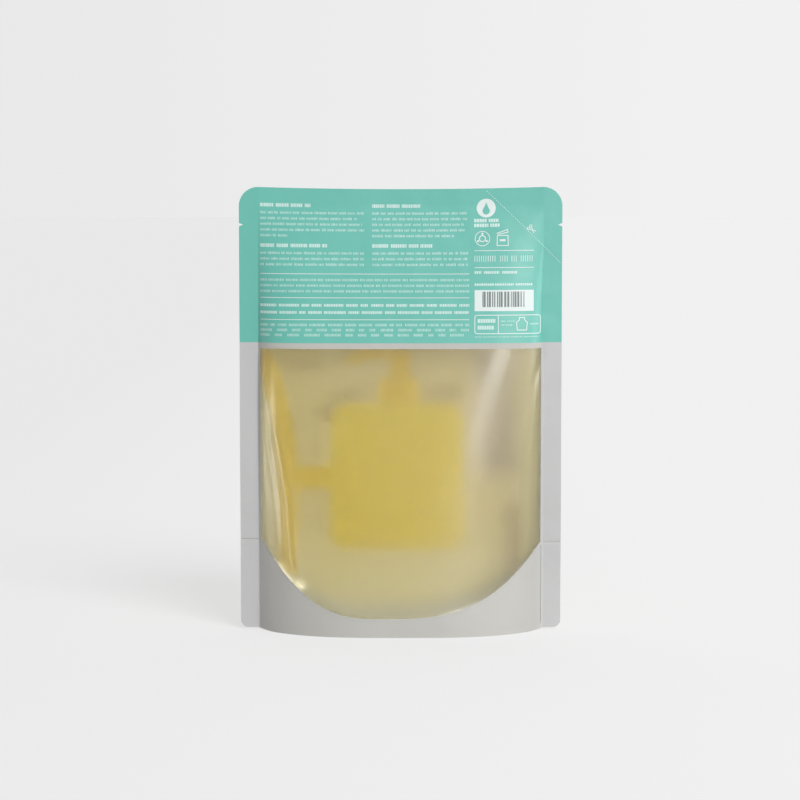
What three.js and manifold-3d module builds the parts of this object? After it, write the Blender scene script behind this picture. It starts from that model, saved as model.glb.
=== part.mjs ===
// A stand-up refill pack for 500 ml of liquid hand soap: a pouch of heat-sealed film.
// It is made of three cuts of film and what they hold:
//   rear_panel     the printed rear film, facing -Y
//   front_panel    the front film, facing +Y
//   bottom_gusset  the film folded up between them, which opens out into the base
//   soap_fill      the liquid
// Millimetres, +Z up. The origin is on the ground under the middle of the pack.
import * as THREE from 'three';
import { mergeVertices } from 'three/addons/utils/BufferGeometryUtils.js';
import Module from 'manifold-3d';

// Pouch outline, standing and filled
const WIDTH = 160;
const HEIGHT = 220;
const SIDE_SEAL = 9;
const TOP_SEAL = 9;
const TOP_CORNER = 9;
const BOTTOM_CORNER = 4;
const TOP_SAG = 1.1; // the middle of the top edge is drawn down by the filled body

// Film and seals
const FILM = 0.2;
const GAP = 0.1; // between neighbouring layers
const GUSSET = 45; // height of the folded gusset in the side seals
const RIM_SEAL = 10.5; // height of the curved base seal at its lowest
const SEAL_CURVE = 3.2; // exponent of the base seal's U-shaped upper edge

// Tear notches in both side seals
const NOTCH_HEIGHT = 202;
const NOTCH_DEPTH = 2.2;
const NOTCH_HALF = 0.6;

// Filled body
const BASE_HALF_DEPTH = 26; // from the middle plane to the rim of one panel
const SECTION_POWER = 3.2; // how square the lens-shaped section is
const SECTION_SIDE = 0.9; // how steeply its sides leave the seals
const BASE_FLAT = 0.35; // share of the gusset's half width that lies on the ground
const SAG_SHARE = 0.62; // how far the gusset hangs at most, for each mm of half width
const SAG_FROM = 2; // over this half width
const FILL_HEIGHT = 150; // liquid level
const LEVEL_ROWS = 110; // above this height the grid's rows are level

const HALF = WIDTH / 2;
const INNER_HALF = HALF - SIDE_SEAL; // middle plane to the inner edge of a side seal
const SEAL_FOOT = HEIGHT - TOP_SEAL; // lower edge of the top seal

// Grid of the panels: columns across, as distances from the middle
const SPAN_COLUMNS = 22;
const SEAL_COLUMNS = [0.28, 0.56, 0.78, 1];
const SEAL_ROWS = [0, BOTTOM_CORNER / 2 / GUSSET, BOTTOM_CORNER / GUSSET, 0.35, 0.7, 1];
const RISING_ROWS = 8;
const LEVEL_HEIGHTS = [
  124, 137, FILL_HEIGHT, 164, 179, 192,
  NOTCH_HEIGHT - NOTCH_HALF, NOTCH_HEIGHT, NOTCH_HEIGHT + NOTCH_HALF,
  SEAL_FOOT, SEAL_FOOT + TOP_SEAL / 4, SEAL_FOOT + TOP_SEAL / 2, SEAL_FOOT + (3 * TOP_SEAL) / 4, HEIGHT,
];
const BASE_STEPS = 14; // across the gusset, from one panel to the other

const wasm = await Module();
wasm.setup();

// Distances from the middle plane x = 0 of every column, from one outer edge to the other.
function columnPlaces() {
  const places = [];
  for (let k = 0; k <= SPAN_COLUMNS; k++) {
    places.push(-INNER_HALF * Math.cos((Math.PI * k) / SPAN_COLUMNS));
  }
  for (const share of SEAL_COLUMNS) {
    places.push(INNER_HALF + SIDE_SEAL * share);
    places.unshift(-INNER_HALF - SIDE_SEAL * share);
  }
  return places;
}

// Place across the filled body, -1 to 1, held at the ends inside the side seals.
function shareAcross(x) {
  return THREE.MathUtils.clamp(x / INNER_HALF, -1, 1);
}

// Height of the base seal's upper edge: a U that meets the gusset's fold at the side seals.
function sealHeight(x) {
  return RIM_SEAL + (GUSSET - RIM_SEAL) * Math.abs(shareAcross(x)) ** SEAL_CURVE;
}

// Heights of every row of the grid at one column: three bands, below the base seal's edge,
// rising to level, and level.
function rowHeights(x) {
  const seal = sealHeight(x);
  const heights = SEAL_ROWS.map((share) => share * seal);
  for (let k = 1; k <= RISING_ROWS; k++) {
    heights.push(seal + ((LEVEL_ROWS - seal) * k) / RISING_ROWS);
  }
  return heights.concat(LEVEL_HEIGHTS);
}

// Layers of film between the middle plane and the outside of a panel, in the seals.
function sealOffset(z) {
  const closed = THREE.MathUtils.smoothstep(z, GUSSET, GUSSET + 6);
  return THREE.MathUtils.lerp(2 * FILM + 1.5 * GAP, FILM + 0.5 * GAP, closed);
}

// Distance of a panel's outside from the middle plane: a wedge in height, a squarish lens across.
function halfDepth(x, z) {
  const wedge = Math.max(0, 1 - z / SEAL_FOOT);
  const lens = (1 - Math.abs(shareAcross(x)) ** SECTION_POWER) ** SECTION_SIDE;
  return sealOffset(z) + BASE_HALF_DEPTH * wedge * lens;
}

// Rounds an outer corner of the flat film: a square of side radius becomes a quarter disc.
function roundCorner(x, z, cornerX, cornerZ, radius) {
  const across = (Math.abs(x) - cornerX) / radius;
  const along = (z - cornerZ) / radius;
  if (across <= 0 || Math.abs(along) > 1) return [x, z];
  return [
    Math.sign(x) * (cornerX + radius * across * Math.sqrt(1 - (along * along) / 2)),
    cornerZ + radius * along * Math.sqrt(1 - (across * across) / 2),
  ];
}

// Place in the plane of the film of one grid point, with corners, notches and the sagging top edge.
function onFilm(x, z) {
  let [px, pz] = [x, z];
  if (z > HEIGHT - TOP_CORNER) {
    [px, pz] = roundCorner(x, z, HALF - TOP_CORNER, HEIGHT - TOP_CORNER, TOP_CORNER);
  } else if (z < BOTTOM_CORNER) {
    [px, pz] = roundCorner(x, z, HALF - BOTTOM_CORNER, BOTTOM_CORNER, BOTTOM_CORNER);
  } else if (z === NOTCH_HEIGHT && Math.abs(x) > INNER_HALF) {
    px -= Math.sign(x) * NOTCH_DEPTH * ((Math.abs(x) - INNER_HALF) / SIDE_SEAL);
  }
  pz -= TOP_SAG * (pz / HEIGHT) ** 6 * (1 - shareAcross(px) ** 2);
  return [px, pz];
}

// The unit normal at every point of a grid, on the side that turns its rows onto its columns.
function normalsOf(grid) {
  return grid.map((column, i) =>
    column.map((_, j) => {
      const right = grid[Math.min(i + 1, grid.length - 1)][j];
      const left = grid[Math.max(i - 1, 0)][j];
      const next = column[Math.min(j + 1, column.length - 1)];
      const before = column[Math.max(j - 1, 0)];
      const across = new THREE.Vector3().subVectors(right, left);
      return new THREE.Vector3().subVectors(next, before).cross(across).normalize();
    }),
  );
}

// The outside of the rear panel as a grid of points, and the way into the pack at each of them.
function rearSurface() {
  const points = columnPlaces().map((x) =>
    rowHeights(x).map((z) => {
      const [px, pz] = onFilm(x, z);
      return new THREE.Vector3(px, -halfDepth(x, z), pz);
    }),
  );
  const inward = normalsOf(points);
  points.forEach((column, i) => {
    // The side seals are flat, and their cut edges are square to them.
    if (Math.abs(column[0].x) > INNER_HALF + 0.01) inward[i].forEach((n) => n.set(0, 1, 0));
  });
  return { points, inward };
}

// The rear surface moved into the pack by a distance. Its lowest row stays on the ground.
function movedIn(surface, distance) {
  return surface.points.map((column, i) =>
    column.map((p, j) => {
      const moved = p.clone().addScaledVector(surface.inward[i][j], distance);
      if (j === 0) moved.z = p.z;
      moved.y = Math.min(moved.y, -GAP / 4);
      return moved;
    }),
  );
}

function mirrored(p) {
  return new THREE.Vector3(p.x, -p.y, p.z);
}

// Collects triangles as a flat list of coordinates.
class Skin {
  constructor() {
    this.places = [];
  }

  triangle(a, b, c) {
    if (a.equals(b) || b.equals(c) || c.equals(a)) return;
    for (const p of [a, b, c]) this.places.push(p.x, p.y, p.z);
  }

  // Split from the corner nearest the middle of the base, so neighbouring layers fold alike.
  quad(a, b, c, d) {
    const reach = [a, b, c, d].map((p) => 4 * Math.abs(p.x) + Math.abs(p.y) + p.z);
    const nearest = reach.indexOf(Math.min(...reach));
    if (nearest % 2 === 0) {
      this.triangle(a, b, c);
      this.triangle(a, c, d);
    } else {
      this.triangle(b, c, d);
      this.triangle(b, d, a);
    }
  }

  // A sheet of quads over a grid, seen anticlockwise when its columns run right and its rows up.
  sheet(grid) {
    for (let i = 0; i + 1 < grid.length; i++) {
      for (let j = 0; j + 1 < grid[i].length; j++) {
        this.quad(grid[i][j], grid[i + 1][j], grid[i + 1][j + 1], grid[i][j + 1]);
      }
    }
  }

  geometry() {
    const made = new THREE.BufferGeometry();
    made.setAttribute('position', new THREE.BufferAttribute(new Float32Array(this.places), 3));
    return mergeVertices(made, 1e-4);
  }
}

// One panel of film: outside, inside and the cut edge all round.
function panelGeometry(surface) {
  const outside = surface.points;
  const inside = movedIn(surface, FILM);
  const skin = new Skin();
  skin.sheet(outside);
  skin.sheet([...inside].reverse());
  const lastColumn = outside.length - 1;
  const lastRow = outside[0].length - 1;
  for (let i = 0; i < lastColumn; i++) {
    skin.quad(outside[i + 1][0], outside[i][0], inside[i][0], inside[i + 1][0]);
    skin.quad(
      outside[i][lastRow], outside[i + 1][lastRow], inside[i + 1][lastRow], inside[i][lastRow],
    );
  }
  for (let j = 0; j < lastRow; j++) {
    skin.quad(outside[0][j], outside[0][j + 1], inside[0][j + 1], inside[0][j]);
    skin.quad(
      outside[lastColumn][j + 1], outside[lastColumn][j], inside[lastColumn][j], inside[lastColumn][j + 1],
    );
  }
  return skin.geometry();
}

// How far the gusset hangs below the base seal's edge: to the ground where it is wide enough.
function gussetSag(foot) {
  return Math.min(foot.z - FILM, SAG_SHARE * Math.max(0, -foot.y - SAG_FROM));
}

// The gusset's upper face as a grid: at every column, points from the rear base seal's edge to
// the front one's. It hangs down from both and lies flat on the ground between them.
function gussetTop(surface) {
  return movedIn(surface, FILM + GAP).map((column) => {
    const foot = column[SEAL_ROWS.length - 1];
    const sag = gussetSag(foot);
    return Array.from({ length: BASE_STEPS + 1 }, (_, k) => {
      const share = (2 * k) / BASE_STEPS - 1;
      const rise = THREE.MathUtils.smoothstep(Math.abs(share), BASE_FLAT, 1);
      return new THREE.Vector3(foot.x, -foot.y * share, foot.z - sag * (1 - rise));
    });
  });
}

// A grid over the base moved up so that it stands off by a distance square to its own slope.
function raised(grid, distance) {
  const normals = normalsOf(grid);
  return grid.map((column, i) =>
    column.map((p, k) => {
      const rise = distance / Math.abs(normals[i][k].z);
      return new THREE.Vector3(p.x, p.y, Math.max(0, p.z + rise));
    }),
  );
}

// A solid from closed loops, one at each column. Every loop is symmetric about the middle plane,
// and each end is filled by strips that join its two halves.
function loftGeometry(loops) {
  const skin = new Skin();
  const count = loops[0].length;
  const last = loops.length - 1;
  for (let i = 0; i < last; i++) {
    for (let k = 0; k < count; k++) {
      const next = (k + 1) % count;
      skin.quad(loops[i][k], loops[i + 1][k], loops[i + 1][next], loops[i][next]);
    }
  }
  for (const [loop, flip] of [[loops[0], false], [loops[last], true]]) {
    for (let k = 0; 2 * k < count - 1; k++) {
      const strip = [loop[k], loop[k + 1], loop[count - 2 - k], loop[count - 1 - k]];
      if (flip) strip.reverse();
      skin.quad(...strip);
    }
  }
  return skin.geometry();
}

// The loop of one column: up the rear rows, across by the given line, and down the front rows.
function columnLoop(rear, bridge) {
  return [...rear, ...bridge, ...[...rear].reverse().map(mirrored)];
}

function solidOf(geometry) {
  return new wasm.Manifold(
    new wasm.Mesh({
      numProp: 3,
      vertProperties: geometry.attributes.position.array,
      triVerts: new Uint32Array(geometry.index.array),
    }),
  );
}

function geometryOf(solid) {
  const mesh = solid.getMesh();
  const made = new THREE.BufferGeometry();
  made.setAttribute('position', new THREE.BufferAttribute(new Float32Array(mesh.vertProperties), 3));
  made.setIndex(new THREE.BufferAttribute(new Uint32Array(mesh.triVerts), 1));
  return made;
}

// The gusset: the space between the panels under its upper face, less the space under its
// lower face, which leaves the film.
function gussetGeometry(surface) {
  const edge = SEAL_ROWS.length - 1;
  const top = gussetTop(surface);
  const underside = raised(top, -FILM);
  const filled = movedIn(surface, FILM + GAP).map((column, i) =>
    columnLoop(column.slice(0, edge + 1), top[i].slice(1, -1)),
  );
  const hollow = [];
  movedIn(surface, 2 * FILM + GAP).forEach((column, i) => {
    if (Math.abs(surface.points[i][0].x) > INNER_HALF + 0.01) return;
    column[0].z = -1;
    column[edge].z = underside[i][0].z;
    hollow.push(columnLoop(column.slice(0, edge + 1), underside[i].slice(1, -1)));
  });
  return geometryOf(solidOf(loftGeometry(filled)).subtract(solidOf(loftGeometry(hollow))));
}

// The liquid: from the gusset up to its level, clear of the film all round.
function soapGeometry(surface) {
  const edge = SEAL_ROWS.length - 1;
  const level = SEAL_ROWS.length + RISING_ROWS + LEVEL_HEIGHTS.indexOf(FILL_HEIGHT);
  const foot = raised(gussetTop(surface), GAP);
  const loops = [];
  movedIn(surface, FILM + GAP).forEach((column, i) => {
    if (Math.abs(surface.points[i][level].x) > INNER_HALF - 0.5) return;
    column[edge].z = foot[i][0].z;
    column[level].z = FILL_HEIGHT;
    const rear = column.slice(edge, level + 1).reverse();
    loops.push(columnLoop(rear, foot[i].slice(1, -1)).reverse());
  });
  return loftGeometry(loops);
}

// A copy of a geometry on the other side of the middle plane, still facing out.
function mirroredGeometry(geometry) {
  const made = geometry.clone().scale(1, -1, 1);
  const faces = made.index.array;
  for (let i = 0; i < faces.length; i += 3) {
    [faces[i + 1], faces[i + 2]] = [faces[i + 2], faces[i + 1]];
  }
  return made;
}

function piece(name, geometry, material) {
  const mesh = new THREE.Mesh(geometry, material);
  mesh.name = name;
  return mesh;
}

const printedFilm = new THREE.MeshStandardMaterial({ color: 0x6ebdb1, roughness: 0.4, metalness: 0 });
const frostedFilm = new THREE.MeshStandardMaterial({ color: 0xc4c4c0, roughness: 0.45, metalness: 0 });
const soap = new THREE.MeshStandardMaterial({ color: 0xc8b460, roughness: 0.15, metalness: 0 });

const surface = rearSurface();
const rearPanel = panelGeometry(surface);

const pack = new THREE.Group();
pack.add(
  piece('rear_panel', rearPanel, printedFilm),
  piece('front_panel', mirroredGeometry(rearPanel), printedFilm),
  piece('bottom_gusset', gussetGeometry(surface), frostedFilm),
  piece('soap_fill', soapGeometry(surface), soap),
);

export default pack;
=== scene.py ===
"""Looks of a stand-up refill pack for liquid hand soap.

Two panels of film are sealed to each other along both sides and the top, and to a folded
gusset at the bottom. The rear panel is printed at its top and clear below, so the soap and
the inside of the front panel show through it. Lengths inside the classes are millimetres.
"""

import logging
import math
from dataclasses import dataclass, field
from enum import Enum

import bpy
import numpy as np
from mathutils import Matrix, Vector


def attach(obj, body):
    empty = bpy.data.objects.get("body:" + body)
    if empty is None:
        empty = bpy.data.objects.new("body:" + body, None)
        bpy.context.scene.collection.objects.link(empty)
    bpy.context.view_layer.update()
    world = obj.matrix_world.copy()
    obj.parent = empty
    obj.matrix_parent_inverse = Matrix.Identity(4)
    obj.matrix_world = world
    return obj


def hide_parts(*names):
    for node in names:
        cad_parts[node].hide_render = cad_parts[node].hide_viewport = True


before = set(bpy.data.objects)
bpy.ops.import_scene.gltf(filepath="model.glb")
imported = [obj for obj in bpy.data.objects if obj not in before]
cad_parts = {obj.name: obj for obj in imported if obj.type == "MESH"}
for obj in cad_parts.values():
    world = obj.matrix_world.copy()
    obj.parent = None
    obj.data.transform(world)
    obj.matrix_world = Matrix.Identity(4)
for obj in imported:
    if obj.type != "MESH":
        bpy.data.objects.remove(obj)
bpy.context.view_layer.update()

MM = 0.001
BODY = "root"
# The film's places run from 0 to 1 over a sheet of this width and height.
SHEET_WIDE = 160.0
SHEET_TALL = 220.0
# Edges between faces that turn by more than this stay sharp.
SHARP_TURN = math.radians(40.0)
# Longest step inside a flat mark, so that it follows the film.
FLAT_STEP = 1.5
# The angle at which a round mark stops short of closing, in radians.
HAIR = 0.02
log = logging.getLogger("refill_pack")


class Side(Enum):
    """The two panels of the pack, valued by the sign of the way they face along Y."""

    REAR = -1
    FRONT = 1


class Region(Enum):
    """The finishes of one panel's film, valued by their material slot."""

    INK = 0
    FROST = 1
    WINDOW = 2


# ---------------------------------------------------------------- form of the pack


def smooth(edge0: float, edge1: float, x: np.ndarray) -> np.ndarray:
    """Smooth step from 0 at edge0 to 1 at edge1.

    Args:
        edge0: Where it starts.
        edge1: Where it ends.
        x: Places to work it out at.

    Returns:
        u*u*(3 - 2u), where u is the share of the way from edge0 to edge1.
    """
    u = np.clip((x - edge0) / (edge1 - edge0), 0.0, 1.0)
    return u * u * (3.0 - 2.0 * u)


@dataclass(frozen=True)
class Crease:
    """A soft fold in the film: a ridge (or a valley) along a path.

    Attributes:
        s: Distances of the path's points from the middle, along the width.
        t: Their heights, rising.
        width: Half width of the fold.
        rise: How far it stands out of the film, or in if negative.
        fade: Length over which it dies out at each end.
    """

    s: tuple[float, ...]
    t: tuple[float, ...]
    width: float
    rise: float
    fade: float = 14.0

    def lift(self, s: np.ndarray, t: np.ndarray) -> np.ndarray:
        """Outward lift at points of the film: a bell curve across the path.

        Args:
            s: Distances from the middle.
            t: Heights.

        Returns:
            rise * exp(-(distance / width)^2), faded at both ends.
        """
        across = s - np.interp(t, self.t, self.s)
        ends = smooth(self.t[0] - self.fade, self.t[0] + self.fade, t)
        ends = ends * (1.0 - smooth(self.t[-1] - self.fade, self.t[-1] + self.fade, t))
        return self.rise * ends * np.exp(-((across / self.width) ** 2))


@dataclass
class PouchForm:
    """Shape of the standing, filled pouch, which every piece of film follows.

    A place on a panel is given as s, its distance from the middle, and t, its height.

    Attributes:
        half_width: Half of the width.
        height: Height of the top edge.
        side_seal: Width of the side seals.
        top_seal: Height of the top seal.
        top_corner: Radius of the top corners.
        bottom_corner: Radius of the bottom corners.
        top_sag: How far the top edge's middle hangs.
        heel: How far the side seals' feet are drawn up.
        gusset: Height of the gusset's fold, where the base seal meets the side seals.
        rim_seal: Height of the base seal at its lowest place.
        half_depth: How far each panel stands out at the ground.
        left_roll: Length and share of the roll beside the left seal, towards the top.
        right_roll: The same beside the right seal.
        film: Thickness of the film.
        layers: Half of the flat seals' thickness where the gusset lies in them.
        layer_step: How much thinner it is above the gusset.
        bead: Rise of the welded edge along the base seal.
        bead_half: Half width of that bead.
        groove: Depth of the fold's groove across the side seals.
        groove_half: Half width of that groove.
        notch_height: Height of the tear notches.
        notch_depth: How far they cut in.
        notch_half: Half of their opening.
        creases: Folds in each panel.
    """

    half_width: float = 80.0
    height: float = 220.6
    side_seal: float = 9.4
    top_seal: float = 9.0
    top_corner: float = 9.5
    bottom_corner: float = 3.6
    top_sag: float = 1.1
    heel: float = 0.9
    gusset: float = 45.5
    rim_seal: float = 9.1
    half_depth: float = 25.9
    left_roll: tuple[float, float] = (6.5, 1.0)
    right_roll: tuple[float, float] = (5.0, 0.42)
    film: float = 0.16
    layers: float = 0.42
    layer_step: float = 0.1
    bead: float = 0.09
    bead_half: float = 1.1
    groove: float = 0.2
    groove_half: float = 0.45
    notch_height: float = 202.0
    notch_depth: float = 2.1
    notch_half: float = 0.8
    creases: dict[Side, tuple[Crease, ...]] = field(default_factory=dict)

    @property
    def inner(self) -> float:
        """Distance from the middle to the inner edge of a side seal."""
        return self.half_width - self.side_seal

    @property
    def foot(self) -> float:
        """Height of the top seal's lower edge."""
        return self.height - self.top_seal

    def share(self, s: np.ndarray) -> np.ndarray:
        """Place across the filled body, from -1 to 1, held at the ends inside the seals."""
        return np.clip(s / self.inner, -1.0, 1.0)

    def seal_edge(self, s: np.ndarray) -> np.ndarray:
        """Height of the base seal's upper edge, a lopsided U that ends at the gusset's fold.

        Args:
            s: Distances from the middle.

        Returns:
            rim_seal plus a power of the distance from the lowest place, steeper on the left.
        """
        low, side = -12.0, self.inner - 1.5
        left = np.clip((low - s) / (low + side), 0.0, 1.0) ** 2.5
        right = np.clip((s - low) / (side - low), 0.0, 1.0) ** 3.15
        rise = self.gusset - self.rim_seal
        return self.rim_seal + rise * left + (rise - 1.6) * right

    def swell(self, s: np.ndarray, t: np.ndarray) -> np.ndarray:
        """How far one panel stands off its seals: a wedge in height times a lens across.

        Args:
            s: Distances from the middle.
            t: Heights.

        Returns:
            half_depth * (1 - t/foot)^0.97 * (1 - |share|^p)^q, where higher up a larger p
            squares the lens and a smaller q steepens its ends. Towards the top a share of
            it gives way to 1 - exp(-d/length), which rolls over within a few millimetres d
            of the seal.
        """
        up = np.clip(t / self.foot, 0.0, 1.0)
        wedge = np.clip(1.0 - t / self.foot, 0.0, 1.0) ** 0.97
        higher = smooth(0.1, 0.7, up)
        lens = np.clip(1.0 - np.abs(self.share(s)) ** (3.2 + 1.3 * higher), 0.0, 1.0)
        lens = lens ** (0.9 - 0.33 * higher)
        left = s < 0.0
        reach = np.where(left, self.left_roll[0], self.right_roll[0])
        roll = 1.0 - np.exp(-np.maximum(0.0, self.inner - np.abs(s)) / reach)
        part = np.where(left, self.left_roll[1], self.right_roll[1]) * smooth(0.5, 0.72, up)
        lens = (1.0 - part) * lens + part * roll
        return self.half_depth * wedge * lens

    def flange_wave(self, s: np.ndarray, t: np.ndarray) -> np.ndarray:
        """Slow bends of the flat side seals out of their plane, nil at the ground.

        Args:
            s: Distances from the middle.
            t: Heights.

        Returns:
            Two sines along each seal, grown towards its outer edge, on a slight sweep back.
        """
        out = smooth(self.inner - 14.0, self.half_width, np.abs(s))
        left = np.sin(t / 23.0 + 0.6) + 0.5 * np.sin(t / 11.0 + 2.0)
        right = np.sin(t / 27.0 + 2.4) + 0.45 * np.sin(t / 13.0)
        ends = smooth(0.0, 30.0, t) * (1.0 - 0.5 * smooth(190.0, 220.0, t))
        sweep = 0.05 + 0.03 * smooth(140.0, 20.0, t)
        swept = sweep * np.maximum(0.0, np.abs(s) - self.inner)
        return 0.5 * out * ends * np.where(s < 0.0, left, right) + swept

    def depth(self, s: np.ndarray, t: np.ndarray, side: Side) -> np.ndarray:
        """Y of a panel's outside: layers in the seals, the swelling and the creases.

        Args:
            s: Distances from the middle.
            t: Heights.
            side: Which panel.

        Returns:
            Signed depths, negative on the rear panel.
        """
        above = t - self.seal_edge(s)
        layers = self.layers - self.layer_step * smooth(0.0, 0.9, above)
        # The gusset's fold leaves a fine groove across the flat side seals.
        groove = self.groove * np.exp(-(((above - 0.1) / self.groove_half) ** 2))
        layers = layers - groove * (np.abs(s) > self.inner)
        out = layers + self.swell(s, t)
        for crease in self.creases.get(side, ()):
            out = out + crease.lift(s, t)
        # A welded edge stands up as a fine bead along the base seal, lower on the right.
        across = above / self.bead_half
        bead = self.bead * (1.0 - 0.8 * smooth(-25.0, 30.0, s)) * smooth(
            self.inner, self.inner - 5.0, np.abs(s))
        out = out + bead * np.exp(-across * across)
        return side.value * out + self.flange_wave(s, t)

    def outline(self, s: np.ndarray, t: np.ndarray) -> tuple[np.ndarray, np.ndarray]:
        """Place in the film's plane: rounds the corners, cuts the notches, sags the top edge.

        A corner's square is mapped onto a quarter disc by (u*sqrt(1 - v*v/2), v*sqrt(1 - u*u/2)).

        Args:
            s: Distances from the middle.
            t: Heights.

        Returns:
            X and Z.
        """
        x, z = s.astype(float), t.astype(float)
        corners = (
            (self.top_corner, self.height - self.top_corner, 1.0),
            (self.bottom_corner, self.bottom_corner, -1.0),
        )
        for radius, centre, way in corners:
            u = (np.abs(x) - (self.half_width - radius)) / radius
            v = way * (z - centre) / radius
            inside = (u > 0.0) & (v > 0.0)
            cu, cv = np.clip(u, 0.0, 1.0), np.clip(v, 0.0, 1.0)
            round_x = self.half_width - radius + radius * cu * np.sqrt(1.0 - cv * cv / 2.0)
            round_z = centre + way * radius * cv * np.sqrt(1.0 - cu * cu / 2.0)
            x = np.where(inside, np.sign(x) * round_x, x)
            z = np.where(inside, round_z, z)
        bite = np.clip(1.0 - np.abs(t - self.notch_height) / self.notch_half, 0.0, 1.0)
        reach = np.clip((np.abs(s) - self.half_width + 4.0) / 4.0, 0.0, 1.0)
        x = x - np.sign(s) * self.notch_depth * bite * reach
        z = z - self.top_sag * (z / self.height) ** 6 * (1.0 - self.share(x) ** 2)
        # The side seals' feet are drawn up a little off the ground.
        lifted = smooth(self.inner - 8.0, self.inner + 2.0, np.abs(s))
        z = z + self.heel * lifted * np.clip(1.0 - t / 30.0, 0.0, 1.0)
        return x, z

    def surface(self, s: np.ndarray, t: np.ndarray, side: Side) -> np.ndarray:
        """Points of a panel's outside.

        Args:
            s: Distances from the middle.
            t: Heights.
            side: Which panel.

        Returns:
            An array with XYZ along its last axis.
        """
        x, z = self.outline(s, t)
        return np.stack([x, self.depth(x, t, side), z], axis=-1)

    def outward(self, s: np.ndarray, t: np.ndarray, side: Side) -> np.ndarray:
        """Unit normals of a panel's outside, from differences a fifth of a millimetre apart.

        Args:
            s: Distances from the middle.
            t: Heights.
            side: Which panel.

        Returns:
            An array with XYZ along its last axis.
        """
        h = 0.2
        dy_ds = (self.depth(s + h, t, side) - self.depth(s - h, t, side)) / (2 * h)
        dy_dt = (self.depth(s, t + h, side) - self.depth(s, t - h, side)) / (2 * h)
        # In the flat seals the film's cut edges stay square to them.
        free = smooth(self.inner, self.inner - 2.0, np.abs(s))
        normal = np.stack([-dy_ds * free, np.ones_like(dy_ds), -dy_dt * free], axis=-1)
        normal /= np.linalg.norm(normal, axis=-1, keepdims=True)
        return side.value * normal

    def layer(self, s: np.ndarray, t: np.ndarray, side: Side, inward: float) -> np.ndarray:
        """Points a distance inside a panel's outside, clear of the middle plane.

        Args:
            s: Distances from the middle.
            t: Heights.
            side: Which panel.
            inward: The distance, or outward if negative.

        Returns:
            An array with XYZ along its last axis.
        """
        return self.surface(s, t, side) - inward * self.outward(s, t, side)


# ---------------------------------------------------------------- meshes from grids


def grid_quads(rows: int, columns: int, flip: bool = False) -> np.ndarray:
    """Quads of a grid of vertices numbered row by row.

    Args:
        rows: Number of rows, rising.
        columns: Number of columns, running right.
        flip: Turns the faces to the other side.

    Returns:
        An array of four vertex numbers a quad.
    """
    index = np.arange(rows * columns).reshape(rows, columns)
    quads = np.stack([index[:-1, :-1], index[:-1, 1:], index[1:, 1:], index[1:, :-1]], axis=-1)
    quads = quads.reshape(-1, 4)
    return quads[:, ::-1] if flip else quads


def grid_border(rows: int, columns: int) -> np.ndarray:
    """Vertex numbers round the border of a grid: right, up, left and down."""
    index = np.arange(rows * columns).reshape(rows, columns)
    return np.concatenate([index[0, :-1], index[:-1, -1], index[-1, :0:-1], index[:0:-1, 0]])


def sheet_place(x: np.ndarray, z: np.ndarray) -> np.ndarray:
    """Places on the flat film, (x / wide + 1/2, z / tall), along a new last axis."""
    return np.stack([(x + SHEET_WIDE / 2.0) / SHEET_WIDE, z / SHEET_TALL], axis=-1)


@dataclass
class MeshParts:
    """Arrays of one closed mesh while it is gathered.

    Attributes:
        points: Its vertices, in millimetres.
        quads: Four vertex numbers a face.
        slots: Material slot of each face.
        uv: Place on the flat film of each vertex.
    """

    points: np.ndarray
    quads: np.ndarray
    slots: np.ndarray
    uv: np.ndarray


def shell(outer: np.ndarray, inner: np.ndarray, uv: np.ndarray, slots: np.ndarray,
          flip: bool = False) -> MeshParts:
    """A closed sheet between two grids of points.

    Args:
        outer: Points of the outside, rows by columns by XYZ.
        inner: Points of the inside, on the same grid.
        uv: Places on the flat film, rows by columns by two.
        slots: Material slot of each quad, rows - 1 by columns - 1.
        flip: True if the outside's rows and columns run left-handed.

    Returns:
        The outside, the inside and the cut edge between them.
    """
    rows, columns = outer.shape[:2]
    count = rows * columns
    top = grid_quads(rows, columns, flip)
    bottom = grid_quads(rows, columns, not flip) + count
    border = grid_border(rows, columns)
    after = np.roll(border, -1)
    edge = np.stack([border, border + count, after + count, after], axis=-1)
    if flip:
        edge = edge[:, ::-1]
    cell = slots.reshape(-1)
    index = np.arange((rows - 1) * (columns - 1)).reshape(rows - 1, columns - 1)
    beside = np.concatenate([index[0], index[:, -1], index[-1, ::-1], index[::-1, 0]])
    return MeshParts(
        points=np.concatenate([outer.reshape(-1, 3), inner.reshape(-1, 3)]),
        quads=np.concatenate([top, bottom, edge]),
        slots=np.concatenate([cell, cell, cell[beside]]),
        uv=np.concatenate([uv.reshape(-1, 2)] * 2),
    )


def joined(parts: list[MeshParts]) -> MeshParts:
    """Several closed meshes as one, in order.

    Args:
        parts: The meshes.

    Returns:
        Their points, quads, slots and places in one.
    """
    starts = np.cumsum([0] + [len(part.points) for part in parts])
    return MeshParts(
        points=np.concatenate([part.points for part in parts]),
        quads=np.concatenate([part.quads + start for part, start in zip(parts, starts)]),
        slots=np.concatenate([part.slots for part in parts]),
        uv=np.concatenate([part.uv for part in parts]),
    )


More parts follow.
